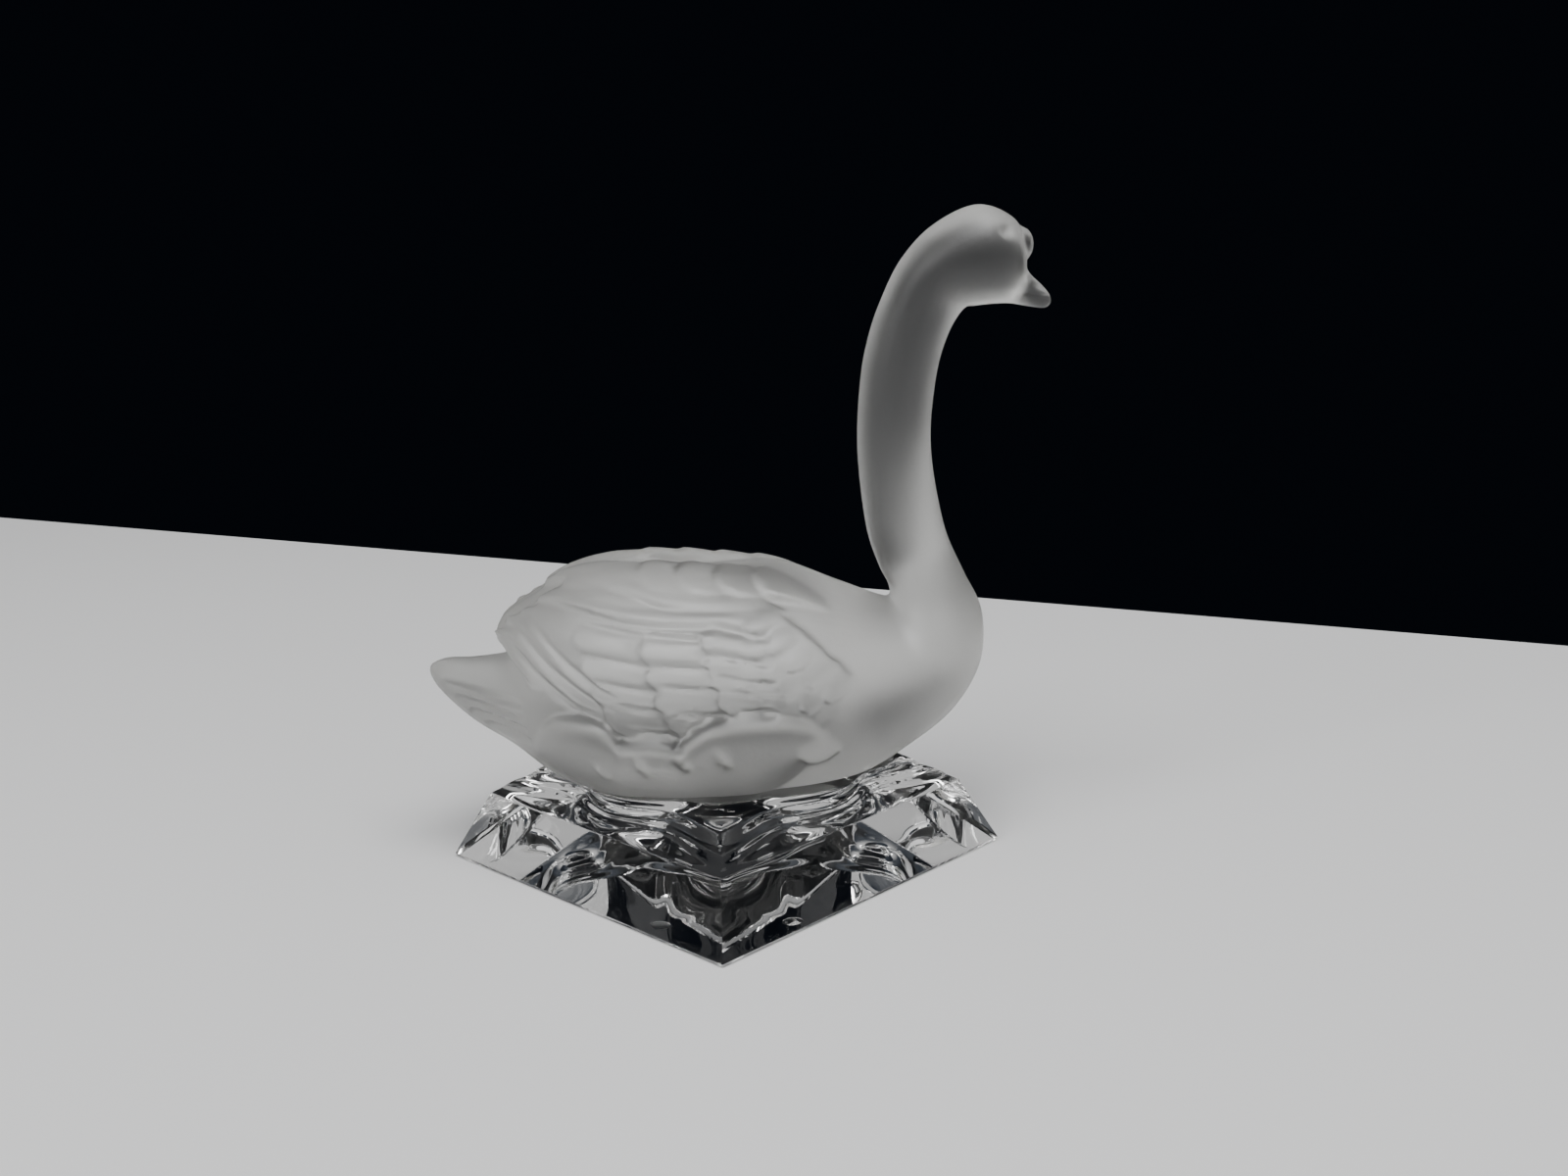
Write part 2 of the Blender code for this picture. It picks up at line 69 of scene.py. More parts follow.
ahead = Vector((
    -math.sin(SWING) * math.cos(LOOK_DOWN),
    math.cos(SWING) * math.cos(LOOK_DOWN),
    -math.sin(LOOK_DOWN),
))
level = Vector((math.cos(SWING), math.sin(SWING), 0.0))
upright = level.cross(ahead)
right = level * math.cos(LEAN) + upright * math.sin(LEAN)
up = upright * math.cos(LEAN) - level * math.sin(LEAN)
off_x = (ORIGIN_PIXEL[0] - PHOTO_WIDTH / 2) / FOCAL_PIXELS
off_y = (PHOTO_HEIGHT / 2 - ORIGIN_PIXEL[1]) / FOCAL_PIXELS
place = -(ahead + right * off_x + up * off_y) * CAMERA_DISTANCE
print("camera at", [round(v, 4) for v in place])

# %% Place the camera
SENSOR_WIDTH = 36.0
NEAREST_SEEN = 0.01

bpy.ops.object.camera_add(location=place)
camera = bpy.context.object
camera.data.sensor_width = SENSOR_WIDTH
camera.data.lens = SENSOR_WIDTH * FOCAL_PIXELS / PHOTO_WIDTH
camera.data.clip_start = NEAREST_SEEN
turned = Matrix((right, up, -ahead)).transposed()
camera.rotation_mode = "QUATERNION"
camera.rotation_quaternion = turned.to_quaternion()
bpy.context.scene.camera = camera
print("lens in mm", round(camera.data.lens, 1))

# %% [markdown]
# ## Sizes
#
# The sizes are the CAD part's own. The swan's lines are written in drawn
# millimetres above the water level, so that its whole drawing can be scaled
# by one height, and the base has sizes of its own in metres.

# %% Name the sizes
BASE_SIDE = 0.0707
BASE_FACE_HEIGHT = 0.0118
BASE_FACE_INSET = 0.0075
BASE_EDGE_ROUND = 0.0006
WATER_LEVEL = 0.0170
RIPPLE_DEPTH = 0.0019
SWAN_HEIGHT = 0.0970
DRAWN_HEIGHT = 97.0
SWAN_UNIT = SWAN_HEIGHT / DRAWN_HEIGHT


def swan_point(x, y, z):
    """A point of the swan's drawing, in metres."""
    return Vector((x * SWAN_UNIT, y * SWAN_UNIT, z * SWAN_UNIT + WATER_LEVEL))


print("base", BASE_SIDE, "swan", SWAN_HEIGHT)

# %% [markdown]
# ## Tools for the forms
#
# Two primitives make nearly every form. A grid is rolled up into a closed skin,
# for long forms such as the body or the base. A cube is cut into small faces
# and bent over the wing, for each feather. A few short helpers do that, and
# they start by deselecting all, because an operator acts on all that is
# selected.

# %% Roll a grid into a skin
SAME_SPOT = 1e-7


def deselect_all():
    bpy.ops.object.select_all(action="DESELECT")


def tidy_skin(thing):
    """Merges doubled corners and turns the faces outwards."""
    deselect_all()
    thing.select_set(True)
    bpy.context.view_layer.objects.active = thing
    bpy.ops.object.mode_set(mode="EDIT")
    bpy.ops.mesh.select_all(action="SELECT")
    bpy.ops.mesh.remove_doubles(threshold=SAME_SPOT)
    bpy.ops.mesh.normals_make_consistent(inside=False)
    bpy.ops.object.mode_set(mode="OBJECT")


def rolled_skin(name, around, along, place):
    """A grid whose corners go to place(turn, share), closed at both ends."""
    deselect_all()
    bpy.ops.mesh.primitive_grid_add(x_subdivisions=around, y_subdivisions=along, size=2)
    skin = bpy.context.object
    skin.name = name
    for vert in skin.data.vertices:
        vert.co = place(math.pi * (vert.co.x + 1), (vert.co.y + 1) / 2)
    tidy_skin(skin)
    return skin


print("skins ready")


# %% Join pieces and apply modifiers
def joined(things, name):
    """One object made of several."""
    deselect_all()
    for thing in things:
        thing.select_set(True)
    bpy.context.view_layer.objects.active = things[0]
    bpy.ops.object.join()
    made = bpy.context.object
    made.name = name
    return made


def applied(thing, modifier):
    """Applies one modifier to a piece."""
    deselect_all()
    thing.select_set(True)
    bpy.context.view_layer.objects.active = thing
    bpy.ops.object.modifier_apply(modifier=modifier.name)


print("joining ready")


# %% Draw smooth curves
def curve_through(values, t):
    """Smooth curve through equally spaced values."""
    last = len(values) - 1
    i = min(int(t), last - 1)
    f = t - i
    before = values[max(i - 1, 0)]
    here = values[i]
    after = values[i + 1]
    beyond = values[min(i + 2, last)]
    slope_here = (after - before) / 2
    slope_after = (beyond - here) / 2
    return (
        here * (2 * f**3 - 3 * f**2 + 1)
        + slope_here * (f**3 - 2 * f**2 + f)
        + after * (3 * f**2 - 2 * f**3)
        + slope_after * (f**3 - f**2)
    )


def powered(value, power):
    """A power that keeps the sign."""
    return math.copysign(abs(value) ** power, value)


print("a curve's middle", curve_through((0.0, 1.0, 4.0, 9.0), 1.5))

# %% [markdown]
# ## Body, neck and head
#
# The swan's outline in the side view is two long lines, the back line and the
# breast line, from the tip of the tail to the tip of the bill. Between them
# each station is an ellipse with its own half breadth. One skin through all
# the stations gives the glass the unbroken flow that it has from breast to
# head, which pieces set together would not.

# %% Draw the body, neck and head
# each station is its name, a point of the back line, one of the breast line, half breadth
LINES = [
    ("tail tip", (-51.7, 19.4), (-51.8, 18.2), 0.8),
    ("tail feathers", (-48.8, 20.4), (-49.8, 15.0), 4.2),
    ("tail", (-43.5, 20.3), (-43.8, 9.6), 8.4),
    ("rump", (-36.0, 21.5), (-36.5, 5.2), 13.2),
    ("hip", (-28.0, 27.5), (-29.0, -0.8), 18.0),
    ("flank", (-16.0, 34.6), (-18.0, -6.0), 21.8),
    ("beam", (-3.0, 36.0), (-3.0, -7.5), 23.4),
    ("mantle", (10.0, 36.4), (12.0, -6.3), 22.6),
    ("shoulder", (20.5, 32.6), (24.0, -2.4), 19.6),
    ("neck notch", (28.0, 29.6), (34.8, 4.0), 16.0),
    ("breast", (30.2, 29.3), (41.8, 9.8), 13.2),
    ("breast front", (30.3, 30.6), (46.3, 17.8), 11.2),
    ("breast top", (29.8, 32.4), (46.5, 26.8), 9.2),
    ("neck base", (28.3, 35.5), (43.2, 34.2), 7.4),
    ("low neck", (26.2, 42.6), (39.9, 42.4), 6.7),
    ("mid neck", (24.9, 56.0), (37.7, 56.0), 6.1),
    ("high neck", (25.6, 68.0), (38.6, 67.8), 6.1),
    ("neck top", (27.1, 75.4), (40.7, 75.2), 6.0),
    ("throat", (29.3, 81.5), (43.4, 79.6), 6.2),
    ("nape", (32.8, 88.2), (45.2, 80.0), 6.9),
    ("back of crown", (38.2, 93.7), (47.2, 80.2), 7.8),
    ("crown", (45.6, 96.9), (48.9, 80.3), 7.9),
    ("forehead", (51.8, 94.6), (50.6, 80.3), 6.6),
    ("lore", (53.9, 90.0), (51.7, 80.2), 4.4),
    ("bill root", (54.2, 86.0), (53.2, 79.9), 3.2),
    ("bill", (56.8, 83.2), (55.4, 79.5), 2.6),
    ("bill end", (58.0, 81.7), (57.2, 79.3), 1.9),
    ("bill tip", (58.4, 80.6), (58.2, 79.9), 0.7),
]

back_x = [row[1][0] for row in LINES]
back_z = [row[1][1] for row in LINES]
front_x = [row[2][0] for row in LINES]
front_z = [row[2][1] for row in LINES]
breadth = [row[3] for row in LINES]
print("stations", len(LINES))

# %% Skin the body, neck and head
BODY_AROUND = 64
BODY_RINGS = 216


def body_place(turn, share):
    """A corner of the body's skin: share 0 is the tail's tip and 1 the bill's."""
    step = share * (BODY_RINGS + 2) - 1
    t = min(max(step / BODY_RINGS, 0.0), 1.0) * (len(LINES) - 1)
    back = Vector((curve_through(back_x, t), curve_through(back_z, t)))
    front = Vector((curve_through(front_x, t), curve_through(front_z, t)))
    open_end = 0.0 if step < 0 or step > BODY_RINGS else 1.0
    middle = (back + front) / 2
    spot = middle + (back - front) / 2 * math.cos(turn) * open_end
    across = curve_through(breadth, t) * math.sin(turn) * open_end
    return swan_point(spot[0], across, spot[1])


body = rolled_skin("body", BODY_AROUND, BODY_RINGS + 2, body_place)
print("body faces", len(body.data.polygons))

# %% [markdown]
# ## The wing's surface
#
# The feathers of a folded wing lie on one full, round form. It is described
# before any feather is made: at each place along the swan it has a widest
# height, a top and a half breadth, and its section is a rounded box between
# them. A feather then asks this form where to lie, so that no feather is
# placed by hand.

# %% Describe the wing's surface
# x, widest height, top height and half breadth
WING_DOME = [
    (30.0, 21.0, 28.8, 13.5),
    (21.0, 19.0, 32.2, 20.0),
    (11.0, 16.8, 35.6, 23.4),
    (0.0, 15.6, 37.2, 24.2),
    (-11.0, 15.6, 38.0, 23.8),
    (-20.0, 17.0, 37.4, 21.4),
    (-27.0, 19.6, 35.4, 17.8),
    (-34.0, 22.6, 31.4, 13.2),
    (-42.0, 25.4, 27.6, 7.0),
]
DOME_POWER = 2.3


def dome_at(x):
    """Widest height, top height and half breadth of the wings at x."""
    rows = WING_DOME
    x = min(max(x, rows[-1][0]), rows[0][0])
    i = 0
    while i < len(rows) - 2 and x < rows[i + 1][0]:
        i += 1
    t = i + (rows[i][0] - x) / (rows[i][0] - rows[i + 1][0])
    return [curve_through([row[k] for row in rows], t) for k in (1, 2, 3)]


def dome_turn(x, z):
    """The angle round the wings at side-view x, z: 0 at the widest, 90 on top."""
    wide, top, _ = dome_at(x)
    share = min(max((z - wide) / (top - wide), -0.9), 1.0)
    return math.asin(powered(share, DOME_POWER / 2))


def dome_point(x, turn, lift):
    """A point on the near wing, lifted off its surface by millimetres."""
    wide, top, broad = dome_at(x)
    y = broad * powered(math.cos(turn), 2 / DOME_POWER)
    z = wide + (top - wide) * powered(math.sin(turn), 2 / DOME_POWER)
    return Vector((x, -(y + math.cos(turn) * lift), z + math.sin(turn) * lift))


print("wing half breadth at the beam", round(dome_at(0.0)[2], 1))

# %% [markdown]
# ## A feather
#
# A feather on this swan is a thin leaf with a rounded tip. Its root sinks
# under the feather before it, its tip stands a little proud, and its lower
# edge is raised, so that each row overlaps the next like shingles. It starts
# as a cube, is cut into small faces in edit mode, and its corners are then
# laid on the wing by the surface that the last step described.

# %% Make a feather
FEATHER_CUTS = 15
FEATHER_THICK = 3.2


def feather(place, length, width, lift, edge, point=0.55, sink=1.3):
    """A leaf laid on a surface by place(along, across, height)."""
    deselect_all()
    bpy.ops.mesh.primitive_cube_add(size=2)
    vane = bpy.context.object
    bpy.ops.object.mode_set(mode="EDIT")
    bpy.ops.mesh.subdivide(number_cuts=FEATHER_CUTS)
    bpy.ops.object.mode_set(mode="OBJECT")
    for vert in vane.data.vertices:
        x, y, z = vert.co
        along = (x + 1) / 2
        start = point if y > 0 else 0.5 + point / 2
        past = max(0.0, (along - start) / (1 - start))
        half = width / 2 * math.sqrt(1 - 0.9 * past**2.2)
        proud = lift * along - sink * (1 - along) ** 2 + edge * y
        deep = FEATHER_THICK * (1 - 0.5 * along**3) * (1 - z) / 2
        height = proud + 0.3 * (1 - y**2) - deep
        vert.co = swan_point(*place(along * length, y * half, height))
    return vane


def wing_feather(root, tip, width, lift, edge, bow=0.0, point=0.55, sink=1.3):
    """A feather on the wing from root to tip, both (x, z) in the side view."""
    turn_root = dome_turn(*root)
    radius = dome_at((root[0] + tip[0]) / 2)[2] * 0.95
    run = Vector((tip[0] - root[0], (dome_turn(*tip) - turn_root) * radius))
    length = run.length
    ux, uq = run / length

    def place(along, across, height):
        aside = across + bow * math.sin(math.pi * along / length)
        x = root[0] + along * ux - aside * uq
        q = along * uq + aside * ux
        return dome_point(x, turn_root + q / radius, height)

    return feather(place, length, width, lift, edge, point, sink)


print("feather cuts", FEATHER_CUTS)

# %% [markdown]
# ## The feathers of the wing
#
# A swan's folded wing shows four kinds. The long primaries close the rear end
# in narrow bows. The secondaries lie in three upright columns. The tertials
# run long and level over them, and small coverts cover the shoulder in rows
# that slant with the wing's front edge. Each kind is a short list of sizes and
# a loop.

# %% List the long feathers
# tip, root and bow of each feather
PRIMARIES = [
    ((-38.4, 27.4), (-19.0, 12.2), 1.6),
    ((-36.4, 29.2), (-17.5, 14.6), 1.6),
    ((-33.6, 30.6), (-16.5, 17.0), 1.4),
    ((-31.0, 31.6), (-16.0, 19.4), 1.2),
]
TERTIALS = [
    ((-30.8, 32.4), (3.0, 28.4), 1.2),
    ((-30.0, 34.4), (5.0, 30.6), 0.8),
    ((-27.6, 36.0), (7.0, 33.0), 0.4),
]
# tips at the top and the foot of a column, length, slope and heights of its grooves
SECONDARIES = [
    ((-24.6, -17.8), 14.0, 2.0, (29.6, 24.9, 20.6, 17.0, 13.0)),
    ((-13.2, -6.0), 14.0, 1.4, (28.4, 23.9, 20.4, 16.0, 13.6, 10.6)),
    ((-2.8, 1.6), 13.0, 2.4, (29.0, 25.0, 21.4, 19.0, 16.0, 12.6)),
]
print("primaries", len(PRIMARIES), "tertials", len(TERTIALS), "columns", len(SECONDARIES))

# %% Lay the long feathers
PRIMARY = {"width": 4.2, "lift": 0.3, "edge": 0.3, "point": 0.6}
TERTIAL = {"width": 6.8, "lift": 0.5, "edge": 0.4, "point": 0.7}
SECONDARY = {"lift": 0.3, "edge": 0.5, "point": 0.7}
SECONDARY_OVERLAP = 1.3
COLUMN_LEAN = 1.4

near = []
for tip, root, bow in PRIMARIES:
    near.append(wing_feather(root, tip, bow=bow, **PRIMARY))

for (tip_top, tip_low), length, slope, grooves in SECONDARIES:
    for k, (upper, lower) in enumerate(zip(grooves, grooves[1:])):
        share = (k + 0.5) / (len(grooves) - 1)
        tip_x = tip_top + (tip_low - tip_top) * share**COLUMN_LEAN
        middle = (upper + lower) / 2
        tip = (tip_x, middle + slope / 2)
        root = (tip_x + length, middle - slope / 2)
        width = (upper - lower) * SECONDARY_OVERLAP
        near.append(wing_feather(root, tip, width, **SECONDARY))

for tip, root, bow in TERTIALS:
    near.append(wing_feather(root, tip, bow=bow, **TERTIAL))

print("long feathers on the near wing", len(near))

# %% Lay the coverts
COVERT_EDGE = ((9.4, 32.0), (23.4, 19.0))
COVERT_ROWS = 3
COVERTS_IN_ROW = 5
COVERT_ROW_STEP = 2.5
COVERT_RUN = (-4.4, -4.0)
COVERT = {"width": 4.2, "lift": 0.35, "edge": 0.1, "sink": 0.8, "point": 0.4}

(top_x, top_z), (low_x, low_z) = COVERT_EDGE
for row in range(COVERT_ROWS):
    for k in range(COVERTS_IN_ROW):
        share = (k + 0.5 * (row % 2)) / (COVERTS_IN_ROW - 0.5)
        back = 0.5 - COVERT_ROW_STEP * row
        root = (top_x + (low_x - top_x) * share + back, top_z + (low_z - top_z) * share + back)
        tip = (root[0] + COVERT_RUN[0], root[1] + COVERT_RUN[1])
        near.append(wing_feather(root, tip, **COVERT))
print("feathers with the coverts", len(near))

# %% Lay the feathers on the back
BACK_FEATHERS = 6
BACK_TIP = -26.4
BACK_STEP = 6.6
BACK_LENGTH = 14.0
BACK_TURN = math.radians(71)
BACK_RADIUS = 21.0
BACK = {"width": 9.4, "lift": 0.5, "edge": 0.0, "point": 0.7}

for k in range(BACK_FEATHERS):
    root_x = BACK_TIP + BACK_STEP * k + BACK_LENGTH

    def back_place(along, across, height, root_x=root_x):
        return dome_point(root_x - along, BACK_TURN - across / BACK_RADIUS, height)

    near.append(feather(back_place, BACK_LENGTH, **BACK))

print("feathers on the near wing", len(near))

# %% [markdown]
# ## The wing under its feathers
#
# Feathers alone would leave slits. Under them lies the wing itself, just
# inside the same surface, cut off along the outline that the folded wing has
# in the side view. Glass shows every hollow in it, so the wing is solid, and
# its flat inner side lies just past the middle, where it meets the other wing.

# %% Draw the folded wing
# x, lowest and highest z
WING_OUTLINE = [
    (-39.0, 26.9, 27.7),
    (-36.6, 24.3, 34.0),
    (-33.1, 20.2, 38.0),
    (-29.3, 16.9, 38.0),
    (-25.5, 13.9, 38.0),
    (-22.2, 11.8, 38.0),
    (-19.0, 5.0, 38.0),
    (7.7, 5.0, 33.5),
    (16.0, 5.0, 26.9),
    (24.0, 8.0, 18.4),
]


def wing_outline(x):
    """Lowest and highest z of the folded wing at x."""
    for (x0, low0, high0), (x1, low1, high1) in zip(WING_OUTLINE, WING_OUTLINE[1:]):
        if x <= x1:
            share = (x - x0) / (x1 - x0)
            return low0 + (low1 - low0) * share, high0 + (high1 - high0) * share
    return WING_OUTLINE[-1][1:]


print("the wing at the beam runs from and to", wing_outline(-3.0))

# %% Fill the wing
WING_AROUND = 64
WING_RINGS = 80
WING_OVERLAP = 0.5
LOWEST_TURN = math.radians(-25)
HIGHEST_TURN = math.radians(82)


def wing_place(turn, share):
    """A corner of the wing's skin: up along its outer face and down its inner side."""
    step = share * (WING_RINGS + 2) - 1
    closed = step < 0 or step > WING_RINGS
    s = min(max(step / WING_RINGS, 0.0), 1.0)
    x = WING_OUTLINE[0][0] + (WING_OUTLINE[-1][0] - WING_OUTLINE[0][0]) * s
    low, high = wing_outline(x)
    start = max(dome_turn(x, low), LOWEST_TURN)
    end = min(dome_turn(x, high), HIGHEST_TURN)
    deep = -0.2 - 1.2 * abs(2 * s - 1) ** 16
    way = 0.5 if closed else round(turn / math.pi, 6) % 2
    spot = dome_point(x, start + (end - start) * (way if way <= 1 else 2 - way), deep)
    if closed:
        spot.y /= 2
    if way > 1:
        spot.y = WING_OVERLAP
    return swan_point(*spot)


near.append(rolled_skin("wing", WING_AROUND, WING_RINGS + 2, wing_place))
print("wing faces", len(near[-1].data.polygons))

# %% [markdown]
# ## The flank
#
# Below the wing a soft roll of small feathers bulges out over the wing's
# lower edge, in three lobes. Its upper edge is full, and downwards and towards
# the breast it fades into the body. It lies on the body, so a ray is shot at
# the body's skin to find how far out it is at each place. Its small feathers
# point down and back, and only their tips show.

# %% Measure the body and draw the lobes
FAR_ASIDE = -100.0
# start, end and height of each lobe
FLANK_LOBES = [
    (-33.0, -15.0, 15.2),
    (-22.5, -2.5, 11.8),
    (-9.5, 21.0, 15.4),
]

corners = [vert.co.copy() for vert in body.data.vertices]
faces = [tuple(face.vertices) for face in body.data.polygons]
body_tree = BVHTree.FromPolygons(corners, faces)


def side(x, z):
    """The near side's y of the body at side-view x, z, or 0 beside it."""
    hit = body_tree.ray_cast(swan_point(x, FAR_ASIDE, z), Vector((0, 1, 0)))[0]
    return 0.0 if hit is None else hit.y / SWAN_UNIT


def flank_top(x):
    """Height of the scalloped upper edge of the roll at x."""
    heights = []
    for start, end, top in FLANK_LOBES:
        share = min(max((x - start) / (end - start), 0.0), 1.0)
        heights.append(top * (1 - abs(2 * share - 1) ** 3.2) ** 0.5)
    return max(heights)


print("body half breadth under the wing", round(-side(0.0, 10.0), 1))

# %% Raise the flank
FLANK_AROUND = 48
FLANK_RINGS = 96
FLANK_LOW = -3.0
# start, end and climb of the lower edge towards the breast and towards the tail
FLANK_TAPERS = ((3.0, 21.0, 16.0), (-17.0, -33.0, 10.0))
FLANK_PROUD = 3.0
FLANK_SUNK = 1.0
FLANK_DEEP = 4.0
FULL_ABOVE = 0.45
FADE_BELOW = 1.2
BREAST_START = 0.7
BREAST_FADE = 0.7


def flank_place(turn, share):
    """A corner of the roll's skin, from its rear end to its front end."""
    step = share * (FLANK_RINGS + 2) - 1
    open_end = 0.0 if step < 0 or step > FLANK_RINGS else 1.0
    s = min(max(step / FLANK_RINGS, 0.0), 1.0)
    x = FLANK_LOBES[0][0] + (FLANK_LOBES[-1][1] - FLANK_LOBES[0][0]) * s
    low = FLANK_LOW
    for start, end, climb in FLANK_TAPERS:
        low += climb * max(0.0, (x - start) / (end - start)) ** 1.6
    while side(x, low) == 0.0:
        low += 0.5
    half = max(flank_top(x) - low, 0.3) / 2
    to_breast = max(0.0, (s - BREAST_START) / (1 - BREAST_START))
    full = (1 - abs(2 * s - 1) ** 4) ** 0.5 * (1 - BREAST_FADE * to_breast**2)
    z = low + half + half * math.sin(turn) * open_end
    fade = FULL_ABOVE if math.sin(turn) > 0 else FADE_BELOW
    out = (FLANK_PROUD + FLANK_SUNK) * full * powered(math.cos(turn), fade) - FLANK_SUNK
    deep = FLANK_DEEP * math.cos(turn) - FLANK_SUNK
    y = side(x, z) - (out if math.cos(turn) > 0 else deep) * open_end
    return swan_point(x, y, z)


near.append(rolled_skin("flank", FLANK_AROUND, FLANK_RINGS + 2, flank_place))
print("flank faces", len(near[-1].data.polygons))

# %% Lay the flank feathers
FLANK_FEATHERS = 6
FLANK_START = (-20.0, 5.0)
FLANK_STEP = 6.8
FLANK_SWAY = 2.8
FLANK_RUN = (6.0, 5.6)
FLATTER_FROM = 3
FLATTER_BY = 0.6
FLANK_FEATHER = {"width": 7.0, "edge": 0.0, "point": 0.4}

for k in range(FLANK_FEATHERS):
    tip = (FLANK_START[0] + FLANK_STEP * k, FLANK_START[1] + FLANK_SWAY * math.sin(0.5 * k))
    root = (tip[0] + FLANK_RUN[0], tip[1] + FLANK_RUN[1])
    run = Vector((tip[0] - root[0], tip[1] - root[1]))
    length = run.length
    ux, uz = run / length
    lift = FLANK_PROUD + 0.2 - FLATTER_BY * max(0, k - FLATTER_FROM)

    def flank_feather_place(along, across, height, root=root, ux=ux, uz=uz):
        x = root[0] + along * ux - across * uz
        z = root[1] + along * uz + across * ux
        return Vector((x, side(x, z) - height, z))

    near.append(feather(flank_feather_place, length, lift=lift, **FLANK_FEATHER))

print("pieces on the near side", len(near))

# %% [markdown]
# ## One skin
#
# Glass has no seams, so all these forms have to become one skin. The near
# side is mirrored to the far side, the knob over the bill is added, and a
# voxel remesh melts the lot together, as the heat of the casting does. A
# light smoothing then takes off the sharpness, which the etching takes off
# the real swan. Between tail and breast it is done longer, because the real
# feathers are as soft as snow there, while bill and tail keep their points.

# %% Mirror the near side
sides = joined(near, "sides")
tidy_skin(sides)
mirror = sides.modifiers.new("far side", "MIRROR")
mirror.use_axis = (False, True, False)
mirror.use_mirror_merge = False
applied(sides, mirror)
print("faces on both sides", len(sides.data.polygons))

# %% Add the knob over the bill
KNOB_CENTRE = (53.0, 0.0, 90.1)
KNOB_RADII = (2.3, 2.3, 3.0)

deselect_all()
bpy.ops.mesh.primitive_uv_sphere_add(segments=32, ring_count=20, radius=1.0)
knob = bpy.context.object
for vert in knob.data.vertices:
    vert.co = swan_point(*[c + r * v for c, r, v in zip(KNOB_CENTRE, KNOB_RADII, vert.co)])
print("knob faces", len(knob.data.polygons))

# %% Melt the forms together
VOXEL = 0.00042

swan = joined([body, sides, knob], "swan_on_base")
melt = swan.modifiers.new("melt", "REMESH")
melt.mode = "VOXEL"
melt.voxel_size = VOXEL
applied(swan, melt)
print("faces after the melt", len(swan.data.polygons))

# %% Soften the skin
SOFTENING = 4
FEATHER_SOFTENING = 7
FEATHERED = (-38.0, 27.0)

feathered = swan.vertex_groups.new(name="feathered")
inside = [v.index for v in swan.data.vertices if FEATHERED[0] < v.co.x / SWAN_UNIT < FEATHERED[1]]
feathered.add(inside, 1.0, "REPLACE")
for rounds, where in ((SOFTENING, ""), (FEATHER_SOFTENING, feathered.name)):
    soften = swan.modifiers.new("soften", "SMOOTH")
    soften.factor = 0.5
    soften.iterations = rounds
    soften.vertex_group = where
    applied(swan, soften)
swan.vertex_groups.clear()
print("corners made softer", len(inside))

# %% [markdown]
# ## Grooves and eyes
#
# After the smoothing the feathers' steps are soft, as etched glass is. What
# tells the long feathers apart on the real swan are shallow strokes that run
# along their edges. A stroke also parts the face from the bill, and the eyes
# are shallow hollows. All are pressed into the finished skin: each corner of
# the mesh moves inwards along its own normal by a depth that a smooth formula
# gives. Cut-out grooves would have hard rims, which etched glass has not.

# %% List the strokes of the wing
WING_STROKE_WIDTH = 0.7
SECONDARY_DEPTH = 0.6
PRIMARY_DEPTH = 0.65
TERTIAL_DEPTH = 0.55

# each stroke is its tip, root, bow, width and depth
wing_strokes = []
for (tip_top, tip_low), length, slope, grooves in SECONDARIES:
    for k, height in enumerate(grooves):
        tip_x = tip_top + (tip_low - tip_top) * (k / (len(grooves) - 1)) ** COLUMN_LEAN
        tip = (tip_x + 1.0, height + slope / 2)
        root = (tip_x + length * 0.9, height - slope / 2)
        wing_strokes.append((tip, root, 0.0, WING_STROKE_WIDTH, SECONDARY_DEPTH))
for rows, depth in ((PRIMARIES, PRIMARY_DEPTH), (TERTIALS, TERTIAL_DEPTH)):
    for (tip_a, root_a, bow_a), (tip_b, root_b, bow_b) in zip(rows, rows[1:]):
        tip = (Vector(tip_a) + Vector(tip_b)) / 2
        root = (Vector(root_a) + Vector(root_b)) / 2
        wing_strokes.append((tip, root, (bow_a + bow_b) / 2, WING_STROKE_WIDTH, depth))
print("wing strokes", len(wing_strokes))

# %% List the strokes of tail and face
TAIL_STROKE = {"bow": 0.0, "width": 0.7, "depth": 1.1}
# tip and root of each
TAIL_EDGES = [
    ((-49.0, 17.4), (-33.6, 15.6)),
    ((-46.4, 15.2), (-33.2, 13.3)),
    ((-43.8, 13.2), (-32.8, 11.2)),
    ((-41.0, 11.2), (-32.4, 9.2)),
]
tail_strokes = [(tip, root, *TAIL_STROKE.values()) for tip, root in TAIL_EDGES]

# the edge of the face behind the bill, and the line of the mouth
FACE_START = 50.0
face_strokes = [
    ((53.9, 84.6), (52.3, 93.2), 0.4, 0.7, 0.8),
    ((58.6, 81.2), (52.4, 82.4), 0.0, 0.4, 0.35),
]
print("tail strokes", len(tail_strokes), "face strokes", len(face_strokes))


# %% Measure how deep the strokes go
def stroke_depths(strokes, x, z):
    """Depth of a set of strokes at arrays of side-view x and z."""
    depths = np.zeros_like(x)
    for tip, root, bow, width, depth in strokes:
        run = Vector(tip) - Vector(root)
        length = run.length
        ux, uz = run / length
        along = ((x - root[0]) * ux + (z - root[1]) * uz) / length
        wave = np.sin(np.pi * np.clip(along, 0.0, 1.0))
        aside = (z - root[1]) * ux - (x - root[0]) * uz - bow * wave
        depths = np.maximum(depths, depth * np.sqrt(wave) * np.exp(-((aside / width) ** 2)))
    return depths


count = len(swan.data.vertices)
spots = np.empty(count * 3)
normals = np.empty(count * 3)
swan.data.vertices.foreach_get("co", spots)
swan.data.vertices.foreach_get("normal", normals)
spots = spots.reshape(-1, 3)
normals = normals.reshape(-1, 3)
print("corners to press", count)

